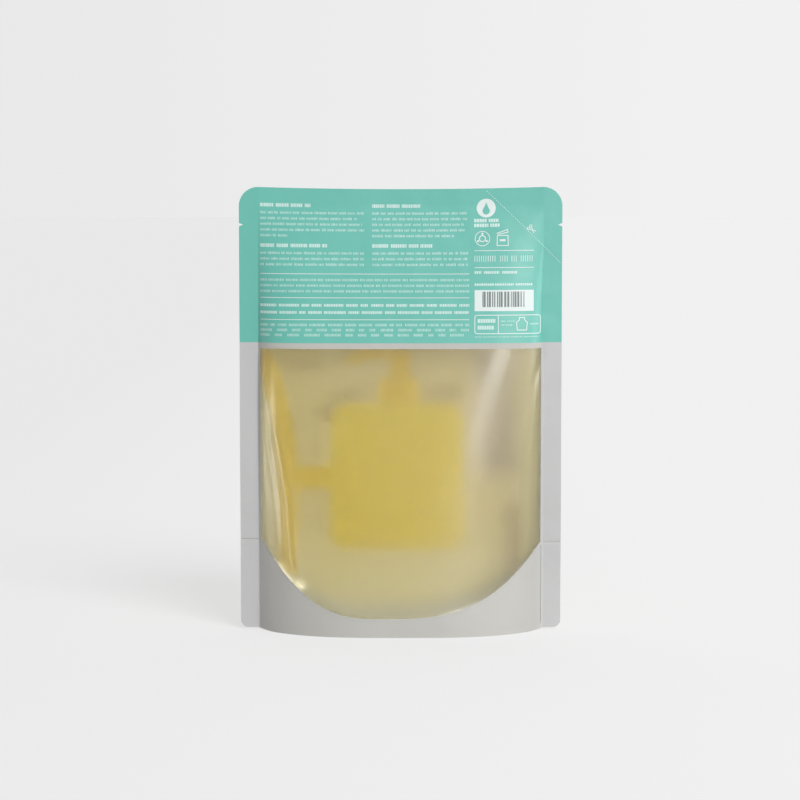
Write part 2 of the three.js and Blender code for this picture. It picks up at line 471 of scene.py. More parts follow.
def make_piece(name: str, parts: MeshParts, materials: list[bpy.types.Material],
               stands_for: tuple[str, ...] = ()) -> bpy.types.Object:
    """Makes the object of one piece and hangs it on the frame.

    Args:
        name: The piece's name.
        parts: Its mesh, in millimetres.
        materials: Its material slots in order.
        stands_for: CAD nodes that it replaces.

    Returns:
        The new object.
    """
    mesh = bpy.data.meshes.new(name)
    mesh.from_pydata((parts.points * MM).tolist(), [], parts.quads.tolist())
    for material in materials:
        mesh.materials.append(material)
    mesh.polygons.foreach_set("material_index", parts.slots.astype(np.int32))
    mesh.polygons.foreach_set("use_smooth", np.ones(len(parts.quads), dtype=bool))
    corners = np.empty(len(mesh.loops), dtype=np.int32)
    mesh.loops.foreach_get("vertex_index", corners)
    layer = mesh.uv_layers.new(name="film")
    layer.uv.foreach_set("vector", parts.uv[corners].astype(np.float32).ravel())
    mesh.update()
    mesh.set_sharp_from_angle(angle=SHARP_TURN)
    piece = bpy.data.objects.new(name, mesh)
    bpy.context.scene.collection.objects.link(piece)
    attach(piece, BODY)
    if stands_for:
        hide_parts(*stands_for)
    log.info("%s: %d faces", name, len(mesh.polygons))
    return piece


# ---------------------------------------------------------------- material helpers


def linear(red: int, green: int, blue: int) -> tuple[float, ...]:
    """A colour given as 0 to 255 on a screen, as linear light with full alpha.

    Args:
        red: Red.
        green: Green.
        blue: Blue.

    Returns:
        Red, green, blue and alpha, from 0 to 1.
    """
    def one(value: float) -> float:
        """One channel."""
        c = value / 255.0
        return c / 12.92 if c <= 0.04045 else ((c + 0.055) / 1.055) ** 2.4

    return one(red), one(green), one(blue), 1.0


class Graph:
    """A thin hand on one node tree, which adds nodes, sets their sockets and links them."""

    def __init__(self, tree: bpy.types.NodeTree) -> None:
        """Keeps the tree."""
        self.tree = tree

    def add(self, kind: str, settings: dict | None = None, **sockets: object) -> bpy.types.Node:
        """Adds a node.

        Args:
            kind: The node's type name, without the leading ShaderNode.
            settings: Properties of the node itself.
            **sockets: Input sockets by name, with _ for a space. A socket is linked, and any
                other value is set.

        Returns:
            The node.
        """
        node = self.tree.nodes.new("ShaderNode" + kind)
        for name, value in (settings or {}).items():
            setattr(node, name, value)
        for name, value in sockets.items():
            self.put(node, name.replace("_", " "), value)
        return node

    def put(self, node: bpy.types.Node, name: str | int, value: object) -> None:
        """Sets or links one input socket, named or numbered.

        Args:
            node: The node.
            name: Name or number of its input.
            value: A socket to link from, or a value to set.
        """
        socket = node.inputs[name]
        if isinstance(value, bpy.types.NodeSocket):
            self.tree.links.new(value, socket)
        else:
            socket.default_value = value

    def math(self, operation: str, *values: object) -> bpy.types.NodeSocket:
        """A Math node on numbers or sockets, as its output socket.

        Args:
            operation: What it does.
            *values: Its inputs, as sockets or numbers.

        Returns:
            Its output socket.
        """
        node = self.add("Math", {"operation": operation})
        for number, value in enumerate(values):
            self.put(node, number, value)
        return node.outputs[0]

    def mix(self, factor: object, first: object, second: object) -> bpy.types.NodeSocket:
        """A colour mix, as its output socket.

        Args:
            factor: Share of the second colour.
            first: The first colour.
            second: The second colour.

        Returns:
            Its output socket.
        """
        node = self.tree.nodes.new("ShaderNodeMix")
        node.data_type = "RGBA"
        self.put(node, 0, factor)
        self.put(node, 6, first)
        self.put(node, 7, second)
        return node.outputs[2]

    def group(self, tree: bpy.types.NodeTree, **sockets: object) -> bpy.types.Node:
        """Places a node group, with its inputs set or linked by name.

        Args:
            tree: The group.
            **sockets: Inputs by name, with _ for a space.

        Returns:
            The group's node.
        """
        node = self.tree.nodes.new("ShaderNodeGroup")
        node.node_tree = tree
        for name, value in sockets.items():
            self.put(node, name.replace("_", " "), value)
        return node


def new_group(name: str, inputs: dict[str, tuple[str, object]],
              outputs: dict[str, str]) -> tuple[Graph, dict, dict]:
    """Starts a shader node group.

    Args:
        name: The group's name.
        inputs: Socket kind (Float, Vector or Color) and default of each input.
        outputs: Socket kind of each output.

    Returns:
        Its graph, its input sockets by name, and its result sockets by name.
    """
    tree = bpy.data.node_groups.new(name, "ShaderNodeTree")
    for label, (kind, default) in inputs.items():
        socket = tree.interface.new_socket(label, in_out="INPUT", socket_type="NodeSocket" + kind)
        socket.default_value = default
    for label, kind in outputs.items():
        tree.interface.new_socket(label, in_out="OUTPUT", socket_type="NodeSocket" + kind)
    start = tree.nodes.new("NodeGroupInput")
    end = tree.nodes.new("NodeGroupOutput")
    return Graph(tree), start.outputs, end.inputs


@dataclass(frozen=True)
class FilmEffects:
    """The node groups that several materials share.

    Attributes:
        grain: Unevenness of film.
        box: A soft-edged box of print.
    """

    grain: bpy.types.NodeTree
    box: bpy.types.NodeTree

    @staticmethod
    def build() -> "FilmEffects":
        """Builds every group once."""
        return FilmEffects(grain=FilmEffects._grain(), box=FilmEffects._box())

    @staticmethod
    def _grain() -> bpy.types.NodeTree:
        """Unevenness of film: slow ripples and a fine tooth.

        Returns:
            A group with outputs Height, in metres, and Tone, about 0 to 1.
        """
        graph, given, result = new_group(
            "film_grain",
            {"Ripple": ("Float", 1.0), "Tooth": ("Float", 1.0)},
            {"Height": "Float", "Tone": "Float"},
        )
        place = graph.add("TexCoord").outputs["Object"]
        slow = graph.add("TexNoise", Vector=place, Scale=55.0, Detail=2.0, Roughness=0.45)
        fine = graph.add("TexNoise", Vector=place, Scale=900.0, Detail=3.0, Roughness=0.6)
        broad = graph.add("TexNoise", Vector=place, Scale=18.0, Detail=3.0, Roughness=0.5)
        ripple = graph.math("MULTIPLY", slow.outputs[0], given["Ripple"])
        tooth = graph.math("MULTIPLY", fine.outputs[0], given["Tooth"])
        height = graph.math("ADD", graph.math("MULTIPLY", ripple, 0.0006),
                            graph.math("MULTIPLY", tooth, 0.00002))
        graph.tree.links.new(height, result["Height"])
        graph.tree.links.new(broad.outputs[0], result["Tone"])
        return graph.tree

    @staticmethod
    def _box() -> bpy.types.NodeTree:
        """A filled box with rounded corners and soft edges, on the flat film.

        The signed distance is |max(q, 0)| + min(max(qx, qy), 0) - corner, where q is the
        distance from the centre less the half size, plus the corner.

        Returns:
            A group with the output Mask.
        """
        graph, given, result = new_group(
            "soft_box",
            {
                "Point": ("Vector", (0.0, 0.0, 0.0)),
                "Centre": ("Vector", (0.0, 0.0, 0.0)),
                "Half Size": ("Vector", (1.0, 1.0, 0.0)),
                "Corner": ("Float", 0.5),
                "Softness": ("Float", 0.5),
            },
            {"Mask": "Float"},
        )

        def vector(operation: str, *values: object) -> bpy.types.Node:
            """A Vector Math node.

            Args:
                operation: What it does.
                *values: Its inputs, as sockets or numbers.

            Returns:
                The node.
            """
            node = graph.add("VectorMath", {"operation": operation})
            for number, value in enumerate(values):
                graph.put(node, number, value)
            return node

        off = vector("ABSOLUTE", vector("SUBTRACT", given["Point"], given["Centre"]).outputs[0])
        flat = vector("MULTIPLY", off.outputs[0], (1.0, 1.0, 0.0))
        corner = graph.add("CombineXYZ")
        graph.put(corner, 0, given["Corner"])
        graph.put(corner, 1, given["Corner"])
        core = vector("SUBTRACT", given["Half Size"], corner.outputs[0])
        q = vector("SUBTRACT", flat.outputs[0], core.outputs[0])
        outside = vector("LENGTH", vector("MULTIPLY", vector("MAXIMUM", q.outputs[0],
                         (0.0, 0.0, 0.0)).outputs[0], (1.0, 1.0, 0.0)).outputs[0])
        apart = graph.add("SeparateXYZ", Vector=q.outputs[0])
        inside = graph.math("MINIMUM", graph.math("MAXIMUM", apart.outputs[0], apart.outputs[1]), 0.0)
        distance = graph.math("SUBTRACT", graph.math("ADD", outside.outputs["Value"], inside),
                              given["Corner"])
        mask = graph.add("MapRange", {"interpolation_type": "SMOOTHSTEP"}, Value=distance,
                         From_Max=given["Softness"], To_Min=1.0, To_Max=0.0)
        graph.put(mask, "From Min", graph.math("MULTIPLY", given["Softness"], -1.0))
        graph.tree.links.new(mask.outputs[0], result["Mask"])
        return graph.tree


def new_material(name: str) -> tuple[bpy.types.Material, Graph, bpy.types.Node]:
    """Starts a material with a Principled BSDF.

    Args:
        name: The material's name.

    Returns:
        The material, its graph and the shader node.
    """
    material = bpy.data.materials.new(name)
    material.use_nodes = True
    graph = Graph(material.node_tree)
    return material, graph, material.node_tree.nodes["Principled BSDF"]


@dataclass(frozen=True)
class PlainFilm:
    """A film of one colour with a faint tooth and slow ripples.

    Attributes:
        name: The material's name.
        tint: Its colour, as linear light.
        shade: A second tone that drifts over it.
        rough: Its roughness.
        coat: Weight of a clear gloss over it.
        alpha: How much it hides.
        behind: Its colour over the filled body, where the soap shows through a little.
        body_centre: Centre of the filled body, as a place on the flat film.
        body_half: Its half size.
    """

    name: str
    tint: tuple[float, ...]
    shade: tuple[float, ...]
    rough: float
    coat: float = 0.0
    alpha: float = 1.0
    behind: tuple[float, ...] | None = None
    body_centre: tuple[float, ...] = (0.5, 0.3, 0.0)
    body_half: tuple[float, ...] = (0.43, 0.4, 0.0)

    def make(self, effects: FilmEffects) -> bpy.types.Material:
        """Builds the material.

        Args:
            effects: The shared node groups.

        Returns:
            The material.
        """
        material, graph, shader = new_material(self.name)
        grain = graph.group(effects.grain)
        colour = graph.mix(grain.outputs["Tone"], self.shade, self.tint)
        if self.behind is not None:
            film = graph.add("UVMap", {"uv_map": "film"}).outputs[0]
            body = graph.group(effects.box, Point=film, Corner=0.02, Softness=0.02)
            body.inputs["Centre"].default_value = self.body_centre
            body.inputs["Half Size"].default_value = self.body_half
            colour = graph.mix(body.outputs["Mask"], colour, self.behind)
        graph.put(shader, "Base Color", colour)
        rough = graph.math("MULTIPLY_ADD", grain.outputs["Tone"], 0.12, self.rough - 0.06)
        graph.put(shader, "Roughness", rough)
        bump = graph.add("Bump", Height=grain.outputs["Height"], Strength=1.0, Distance=1.0)
        graph.put(shader, "Normal", bump.outputs[0])
        shader.inputs["Coat Weight"].default_value = self.coat
        shader.inputs["Coat Roughness"].default_value = 0.22
        shader.inputs["Alpha"].default_value = self.alpha
        return material


@dataclass(frozen=True)
class ClearFilm:
    """A clear film with a fine matt tooth that blurs what is behind it.

    Attributes:
        name: The material's name.
        tint: What it lets through.
        rough: Its roughness, which sets the blur.
        coat: Weight of a clear gloss over it.
    """

    name: str = "window_film"
    tint: tuple[float, ...] = (0.97, 0.96, 0.88, 1.0)
    rough: float = 0.35
    coat: float = 0.6

    def make(self, effects: FilmEffects) -> bpy.types.Material:
        """Builds the material.

        Args:
            effects: The shared node groups.

        Returns:
            The material.
        """
        material, graph, shader = new_material(self.name)
        grain = graph.group(effects.grain, Ripple=1.0, Tooth=0.6)
        shader.inputs["Base Color"].default_value = self.tint
        rough = graph.math("MULTIPLY_ADD", grain.outputs["Tone"], 0.06, self.rough - 0.03)
        graph.put(shader, "Roughness", rough)
        shader.inputs["IOR"].default_value = 1.45
        shader.inputs["Transmission Weight"].default_value = 1.0
        shader.inputs["Coat Weight"].default_value = self.coat
        shader.inputs["Coat Roughness"].default_value = 0.16
        bump = graph.add("Bump", Height=grain.outputs["Height"], Strength=1.0, Distance=1.0)
        graph.put(shader, "Normal", bump.outputs[0])
        return material


@dataclass(frozen=True)
class SoapLiquid:
    """The liquid: clear, pale yellow, deeper where it is thicker.

    Attributes:
        name: The material's name.
        tint: Colour of the light that gets through.
        density: How fast it takes up the rest, per metre.
        ior: How strongly it bends light.
    """

    name: str = "soap_liquid"
    tint: tuple[float, ...] = (0.86, 0.77, 0.36, 1.0)
    density: float = 3.6
    ior: float = 1.2

    def make(self, effects: FilmEffects) -> bpy.types.Material:
        """Builds the material.

        Args:
            effects: The shared node groups.

        Returns:
            The material.
        """
        material, graph, shader = new_material(self.name)
        grain = graph.group(effects.grain, Ripple=0.0, Tooth=0.0)
        shader.inputs["Base Color"].default_value = (1.0, 1.0, 1.0, 1.0)
        graph.put(shader, "Roughness", graph.math("MULTIPLY", grain.outputs["Tone"], 0.02))
        shader.inputs["IOR"].default_value = self.ior
        shader.inputs["Transmission Weight"].default_value = 1.0
        volume = graph.add("VolumeAbsorption", Color=self.tint, Density=self.density)
        graph.tree.links.new(volume.outputs[0],
                             graph.tree.nodes["Material Output"].inputs["Volume"])
        return material


class Tone(Enum):
    """Inks of the front panel's lower print, with tones of painted light and painted shade among
    them.
    """

    FIGURE = "figure"
    DEEP = "deep"
    SHADE = "shade"
    # Painted light, towards the window's sides and foot.
    PALE = "pale"
    # Painted shade, under and beside the right sheen.
    DUSK = "dusk"


@dataclass(frozen=True)
class PrintBox:
    """A box of print on the front panel, by its centre and half size on the flat film.

    Attributes:
        centre: Its centre (s, t).
        half: Its half size.
        corner: Radius of its corners.
        soft: Half width of its soft edge.
        tone: What it is printed in.
        bent: Whether it leans out with the band along the left side.
    """

    centre: tuple[float, float]
    half: tuple[float, float]
    corner: float = 1.0
    soft: float = 1.0
    tone: Tone = Tone.FIGURE
    bent: bool = False


@dataclass(frozen=True)
class PicturedFilm:
    """The front panel's lower print: a pump dispenser and a band in yellow on milky film, with
    painted light and painted shade laid in.

    Attributes:
        name: The material's name.
        ground: Colour of the milky film.
        figure: Colour of the dispenser's body.
        deep: Colour of its pump and of the band.
        shade: Colour of small print, too blurred to read, and of a painted shade low on the right
            beside a crease.
        pale: Colour towards the sides and the foot: painted light that brightens the window's edges
            and foot.
        dusk: Colour of a greyer field on the right: painted shade under the sheen there and beside
            it.
        bend: How strongly the band curves outwards.
        bend_from: Height above which it curves.
        through: Share of the light that passes through instead of coming back.
        boxes: The boxes of print.
    """

    name: str = "front_print_film"
    ground: tuple[float, ...] = linear(244, 233, 185)
    figure: tuple[float, ...] = linear(251, 235, 78)
    deep: tuple[float, ...] = linear(250, 229, 66)
    shade: tuple[float, ...] = linear(228, 212, 158)
    pale: tuple[float, ...] = linear(254, 247, 210)
    dusk: tuple[float, ...] = linear(221, 208, 178)
    bend: float = 0.0022
    bend_from: float = 60.0
    through: float = 0.5
    boxes: tuple[PrintBox, ...] = (
        # Paler boxes at both sides and the foot: painted light.
        PrintBox((70.0, 75.0), (12.0, 90.0), 1.0, 8.0, Tone.PALE),
        PrintBox((-72.0, 75.0), (8.0, 90.0), 1.0, 6.0, Tone.PALE),
        PrintBox((0.0, 0.0), (90.0, 38.0), 1.0, 26.0, Tone.PALE),
        # Painted shade beside the crease low on the right.
        PrintBox((54.5, 36.0), (3.0, 26.0), 2.0, 3.0, Tone.SHADE),
        # Painted shade: a greyer field under the right sheen and beside it.
        PrintBox((46.5, 108.0), (9.5, 31.0), 5.0, 8.0, Tone.DUSK),
        PrintBox((-47.0, 131.5), (7.5, 1.6), 1.5, 2.5, Tone.SHADE),
        PrintBox((-26.5, 116.5), (7.0, 2.5), 2.0, 4.0, Tone.SHADE),
        PrintBox((-36.0, 108.0), (5.0, 3.0), 2.0, 4.0, Tone.SHADE),
        PrintBox((22.0, 118.0), (8.0, 2.5), 2.0, 4.0, Tone.SHADE),
        PrintBox((-1.6, 74.8), (32.9, 37.4), 9.0, 1.5),
        PrintBox((-0.8, 118.5), (10.0, 6.4), 2.5, tone=Tone.DEEP),
        PrintBox((-0.2, 130.0), (5.0, 8.5), 1.0, tone=Tone.DEEP),
        PrintBox((-9.5, 137.0), (14.0, 2.2), 2.0, tone=Tone.DEEP),
        PrintBox((-23.5, 134.0), (4.0, 1.9), 1.5, tone=Tone.DEEP),
        PrintBox((-54.2, 74.0), (4.4, 66.0), 3.0, 1.0, Tone.DEEP, bent=True),
        PrintBox((-42.0, 75.0), (9.5, 5.5), 1.0, 1.5, Tone.DEEP),
    )

    def _flat(self, graph: Graph) -> tuple[bpy.types.NodeSocket, bpy.types.NodeSocket]:
        """Places on the flat film, and the same bent so that the left band leans out.

        Args:
            graph: The material's graph.

        Returns:
            (s, t), and (s + bend * max(t - bend_from, 0)^2, t).
        """
        film = graph.add("UVMap", {"uv_map": "film"}).outputs[0]
        apart = graph.add("SeparateXYZ", Vector=film)
        s = graph.math("MULTIPLY_ADD", apart.outputs[0], SHEET_WIDE, -SHEET_WIDE / 2.0)
        t = graph.math("MULTIPLY", apart.outputs[1], SHEET_TALL)
        above = graph.math("MAXIMUM", graph.math("SUBTRACT", t, self.bend_from), 0.0)
        moved = graph.math("MULTIPLY", graph.math("MULTIPLY", above, above), self.bend)
        straight = graph.add("CombineXYZ", X=s, Y=t)
        bent = graph.add("CombineXYZ", X=graph.math("ADD", s, moved), Y=t)
        return straight.outputs[0], bent.outputs[0]

    def make(self, effects: FilmEffects) -> bpy.types.Material:
        """Builds the material: print that lets some light through, under a satin gloss.

        Args:
            effects: The shared node groups.

        Returns:
            The material.
        """
        material, graph, shader = new_material(self.name)
        grain = graph.group(effects.grain, Ripple=0.6, Tooth=1.0)
        straight, bent = self._flat(graph)
        masks: dict[Tone, object] = {tone: 0.0 for tone in Tone}
        for box in self.boxes:
            one = graph.group(effects.box, Point=bent if box.bent else straight,
                              Corner=box.corner, Softness=box.soft)
            one.inputs["Centre"].default_value = (*box.centre, 0.0)
            one.inputs["Half Size"].default_value = (*box.half, 0.0)
            masks[box.tone] = graph.math("MAXIMUM", masks[box.tone], one.outputs["Mask"])
        # Painted light: the pale boxes brighten the window's sides and foot.
        colour = graph.mix(masks[Tone.PALE], self.ground, self.pale)
        # Painted shade over the window's right side.
        colour = graph.mix(masks[Tone.DUSK], colour, self.dusk)
        colour = graph.mix(masks[Tone.SHADE], colour, self.shade)
        colour = graph.mix(masks[Tone.DEEP], colour, self.deep)
        colour = graph.mix(masks[Tone.FIGURE], colour, self.figure)
        graph.put(shader, "Base Color", colour)
        shader.inputs["Roughness"].default_value = 0.4
        bump = graph.add("Bump", Height=grain.outputs["Height"], Strength=1.0, Distance=1.0)
        graph.put(shader, "Normal", bump.outputs[0])
        passing = graph.add("BsdfTranslucent", Color=colour)
        mixed = graph.add("MixShader")
        graph.put(mixed, 0, self.through)
        graph.put(mixed, 1, shader.outputs[0])
        graph.put(mixed, 2, passing.outputs[0])
        graph.tree.links.new(mixed.outputs[0],
                             graph.tree.nodes["Material Output"].inputs["Surface"])
        return material


# ---------------------------------------------------------------- pieces


@dataclass
class FilmPanel:
    """One panel of film, from the ground to the top edge, with its regions of finish.

    Attributes:
        form: The pouch's shape.
        side: Which panel.
        materials: Its finishes in the order of Region.
        print_foot: Height of the print's lower edge.
        window_top: Height of the window's upper edge.
        window: Window's left and right edges.
        pitch: Size of the grid's cells.
        fine: Their width beside the side seals.
        near: How near the seal's edge they are that fine.
        low_rows: Number of rows up to the base seal's edge.
        mid_rows: Number of rows from there to the window's upper edge.
        crowding: Powers by which the rows crowd towards the base seal's edge from each side.
    """

    form: PouchForm
    side: Side
    materials: list[bpy.types.Material]
    print_foot: float = 143.8
    window_top: float = 141.0
    window: tuple[float, float] = (-69.7, 69.7)
    pitch: float = 1.25
    fine: float = 0.35
    near: float = 3.5
    low_rows: int = 29
    mid_rows: int = 91
    crowding: tuple[float, float] = (1.3, 1.25)

    def _steps(self, places: list[float]) -> np.ndarray:
        """Grid lines through given places, at about the pitch, or finer beside the side seals.

        Args:
            places: Places to pass through, rising.

        Returns:
            The places of all the lines.
        """
        inner = self.form.inner
        runs = []
        for a, b in zip(places[:-1], places[1:]):
            step = self.fine if abs(abs(a + b) / 2.0 - inner) < self.near else self.pitch
            runs.append(np.linspace(a, b, max(2, math.ceil((b - a) / step) + 1))[:-1])
        return np.concatenate(runs + [[places[-1]]])

    def build(self) -> bpy.types.Object:
        """Builds the panel on a grid whose lines follow the edges of its regions.

        Returns:
            The piece.
        """
        form = self.form
        left, right = self.window
        seam = form.inner
        columns = self._steps([-form.half_width, -seam - 1.5, -seam, left, left + 4.5,
                               right - 4.5, right, seam, seam + 1.5, form.half_width])
        # Rows crowd towards the base seal's edge from both sides.
        low = 1.0 - np.linspace(1.0, 0.0, self.low_rows + 1)[:-1] ** self.crowding[0]
        mid = np.linspace(0.0, 1.0, self.mid_rows + 1)[:-1] ** self.crowding[1]
        notch = [form.notch_height + form.notch_half * k for k in (-1.0, -0.5, 0.0, 0.5, 1.0)]
        high = self._steps([self.window_top, self.print_foot, *notch, form.foot, form.height])
        edge = form.seal_edge(columns)
        t = np.concatenate([
            low[:, None] * edge,
            edge + mid[:, None] * (self.window_top - edge),
            np.repeat(high[:, None], len(columns), axis=1),
        ])
        s = np.broadcast_to(columns, t.shape)
        outer = form.surface(s, t, self.side)
        inner = form.layer(s, t, self.side, form.film)
        inner[0, :, 2] = outer[0, :, 2]
        uv = sheet_place(outer[..., 0], outer[..., 2])
        slots = np.full((len(t) - 1, len(columns) - 1), Region.FROST.value)
        slots[len(low) + len(mid) + np.searchsorted(high, self.print_foot):] = Region.INK.value
        middle = (columns[:-1] + columns[1:]) / 2.0
        open_columns = (middle > left) & (middle < right)
        first = len(low) if self.side is Side.REAR else 0
        slots[first:len(low) + len(mid), open_columns] = Region.WINDOW.value
        parts = shell(outer, inner, uv, slots, flip=self.side is Side.FRONT)
        side = self.side.name.lower()
        return make_piece(side + "_film", parts, self.materials,
                          (side + "_panel",))


@dataclass
class BottomGusset:
    """The base: film sealed inside both skirts, which hangs between them to the ground.

    Attributes:
        form: The pouch's shape.
        material: Its finish.
        gap: Air between it and the panel it is sealed to.
        sag_share: How far it hangs, as a share of half its span.
        flat_share: Share of its span that lies flat.
        clear: Least height and least distance from the middle of its underside.
        trim: How far its sides stop short of the panels' sides.
        columns: Number of points along its width.
        skirt_rows: Number of rows in each skirt.
        bridge_steps: Number of steps across the base.
    """

    form: PouchForm
    material: bpy.types.Material
    gap: float = 0.06
    sag_share: float = 0.62
    flat_share: float = 0.35
    clear: float = 0.02
    trim: float = 0.6
    columns: int = 118
    skirt_rows: int = 15
    bridge_steps: int = 36

    def top(self, s: np.ndarray, steps: int) -> np.ndarray:
        """Upper face between the two base seals' edges.

        It hangs from both edges by a smooth step and lies flat between them.

        Args:
            s: Distances from the middle.
            steps: Number of steps from the rear edge to the front one.

        Returns:
            Points, columns by steps + 1 by XYZ.
        """
        form = self.form
        t = form.seal_edge(s)
        inset = form.film + self.gap
        rear = form.layer(s, t, Side.REAR, inset)
        front = form.layer(s, t, Side.FRONT, inset)
        half = (front[..., 1] - rear[..., 1]) / 2.0
        deepest = rear[..., 2] - form.film - 0.05
        sag = np.minimum(deepest, self.sag_share * np.maximum(0.0, half - 2.0))
        share = np.linspace(-1.0, 1.0, steps + 1)
        rise = smooth(self.flat_share, 1.0, np.abs(share))
        mix = ((share + 1.0) / 2.0)[None, :, None]
        points = rear[:, None, :] * (1.0 - mix) + front[:, None, :] * mix
        points[..., 2] -= sag[:, None] * (1.0 - rise)[None, :]
        return points

    def build(self) -> bpy.types.Object:
        """Builds the gusset as one sheet: up a skirt, across the base and down the other.

        Returns:
            The piece.
        """
        form = self.form
        end = form.half_width - self.trim
        s = np.linspace(-end, end, self.columns)
        up = np.linspace(0.0, 1.0, self.skirt_rows + 1)[:-1]
        edge = form.seal_edge(s)
        foot = form.bottom_corner * smooth(form.inner + 4.0, form.half_width, np.abs(s))
        skirt_s = np.broadcast_to(s, (len(up), len(s)))
        skirt_t = foot + up[:, None] * (edge - foot)
        inset = form.film + self.gap
        rear = form.layer(skirt_s, skirt_t, Side.REAR, inset)
        front = form.layer(skirt_s, skirt_t, Side.FRONT, inset)
        bridge = np.swapaxes(self.top(s, self.bridge_steps), 0, 1)
        upper = np.concatenate([rear, bridge, front[::-1]])
        lower = upper - form.film * grid_normals(upper)
        lower[..., 2] = np.maximum(lower[..., 2], self.clear)
        rows = len(upper)
        skirt = form.flange_wave(skirt_s, skirt_t)
        over = np.broadcast_to(form.flange_wave(s, edge), bridge.shape[:2])
        middle = np.concatenate([skirt, over, skirt[::-1]])
        half = rows // 2
        lower[:half, :, 1] = np.minimum(lower[:half, :, 1], middle[:half] - self.clear)
        lower[-half:, :, 1] = np.maximum(lower[-half:, :, 1], middle[-half:] + self.clear)
        across = (s[None, :] + SHEET_WIDE / 2.0) / SHEET_WIDE
        along = np.linspace(0.0, 1.0, rows)[:, None]
        uv = np.stack(np.broadcast_arrays(across, along), axis=-1)
        slots = np.zeros((rows - 1, len(s) - 1), dtype=int)
        return make_piece("gusset_film", shell(upper, lower, uv, slots), [self.material],
                          ("bottom_gusset",))


def grid_normals(points: np.ndarray) -> np.ndarray:
    """Unit normals of a grid whose rows run up and columns right, seen from outside.

    Args:
        points: Rows by columns by XYZ.

    Returns:
        An array of the same shape.
    """
    right = np.gradient(points, axis=1)
    up = np.gradient(points, axis=0)
    normal = np.cross(right, up)
    return normal / np.maximum(np.linalg.norm(normal, axis=-1, keepdims=True), 1e-9)


@dataclass
class SoapFill:
    """The liquid, from the gusset to its level, a hair clear of the film.

    Attributes:
        form: The pouch's shape.
        gusset: The film it stands on.
        material: Its finish.
        level: Height of its surface.
        clear: Air between it and the panels.
        above: Air between it and the gusset.
        short: How far its sides stop short of the side seals.
        columns: Number of points along its width, closer together towards the seals.
        rows: Number of points up each panel.
        across: Number of steps across the gusset.
        level_steps: Number of steps across its surface.
    """

    form: PouchForm
    gusset: BottomGusset
    material: bpy.types.Material
    level: float = 150.0
    clear: float = 0.12
    above: float = 0.25
    short: float = 1.2
    columns: int = 73
    rows: int = 64
    across: int = 27
    level_steps: int = 11

    def build(self) -> bpy.types.Object:
        """Builds the liquid as loops at each column: up the rear, over, down the front, across.

        Returns:
            The piece.
        """
        form = self.form
        s = -(form.inner - self.short) * np.cos(np.linspace(0.0, math.pi, self.columns))
        up = np.linspace(0.0, 1.0, self.rows)
        edge = form.seal_edge(s)
        inset = form.film + self.clear
        t = edge + up[:, None] * (self.level - edge)
        grid = np.broadcast_to(s, t.shape)
        rear = form.layer(grid, t, Side.REAR, inset)
        front = form.layer(grid, t, Side.FRONT, inset)
        for side in (rear, front):
            side[..., 2] = t
            side[..., 0] = grid
        base = np.swapaxes(self.gusset.top(s, self.across), 0, 1)
        base[..., 2] += self.above
        base[..., 0] = s
        rear[0], front[0] = base[0], base[-1]
        over = np.linspace(0.0, 1.0, self.level_steps + 1)[1:-1, None, None]
        level = rear[-1] * (1.0 - over) + front[-1] * over
        loops = np.concatenate([rear, level, front[::-1], base[-2:0:-1]])
        rows, columns = loops.shape[:2]
        quads = grid_quads(rows + 1, columns) % (rows * columns)
        caps = []
        for column, flip in ((0, True), (columns - 1, False)):
            loop = np.roll(np.arange(rows) * columns + column, self.across // 2)
            caps.append(self._cap(loop, flip))
        uv = sheet_place(loops[..., 0], loops[..., 2])
        parts = MeshParts(loops.reshape(-1, 3), np.concatenate([quads, *caps]),
                          np.zeros(len(quads) + sum(map(len, caps)), dtype=int),
                          uv.reshape(-1, 2))
        return make_piece("soap", parts, [self.material], ("soap_fill",))

    @staticmethod
    def _cap(loop: np.ndarray, flip: bool) -> np.ndarray:
        """Fills one end's loop, which starts in the base's middle, by joining its halves.

        Args:
            loop: Vertex numbers round the end.
            flip: Turns the faces to the other side.

        Returns:
            An array of four vertex numbers a quad.
        """
        half = len(loop) // 2
        one, other = loop[:half], loop[::-1][:half]
        quads = np.stack([one[:-1], one[1:], other[1:], other[:-1]], axis=-1)
        return quads if flip else quads[:, ::-1]


class Ink(Enum):
    """The inks of the rear panel's marks, valued by their material slot."""

    LIGHT = 0
    GROUND = 1
    FINE = 2
    DARK = 3
    BOLD = 4
    # Not an ink: painted shade for the lines at the gusset's fold and the right seal's inner edge.
    FOLD_SHADE = 5


@dataclass(frozen=True)
class Strip:
    """A flat shape on the film between two lines of the same number of points.

    Attributes:
        below: Points (s, t) of one line.
        above: Points of the other, on its left.
        ink: What it is printed in.
    """

    below: np.ndarray
    above: np.ndarray
    ink: Ink = Ink.LIGHT

    def grid(self) -> np.ndarray:
        """Points between the two lines in rows no more than FLAT_STEP apart.

        Returns:
            Rows by columns by (s, t).
        """
        tall = float(np.max(np.linalg.norm(self.above - self.below, axis=-1)))
        share = np.linspace(0.0, 1.0, math.ceil(tall / FLAT_STEP) + 1)[:, None, None]
        return self.below * (1.0 - share) + self.above * share


def bar(s0: float, s1: float, t: float, tall: float, ink: Ink = Ink.LIGHT) -> Strip:
    """A level bar from s0 to s1, centred on the height t.

    Args:
        s0: Its left end.
        s1: Its right end.
        t: Its height.
        tall: How tall it is.
        ink: What it is printed in.

    Returns:
        The bar.
    """
    s = np.linspace(s0, s1, max(2, math.ceil((s1 - s0) / 2.0) + 1))
    line = np.stack([s, np.full_like(s, t)], axis=-1)
    lift = np.array([0.0, tall / 2.0])
    return Strip(line - lift, line + lift, ink)


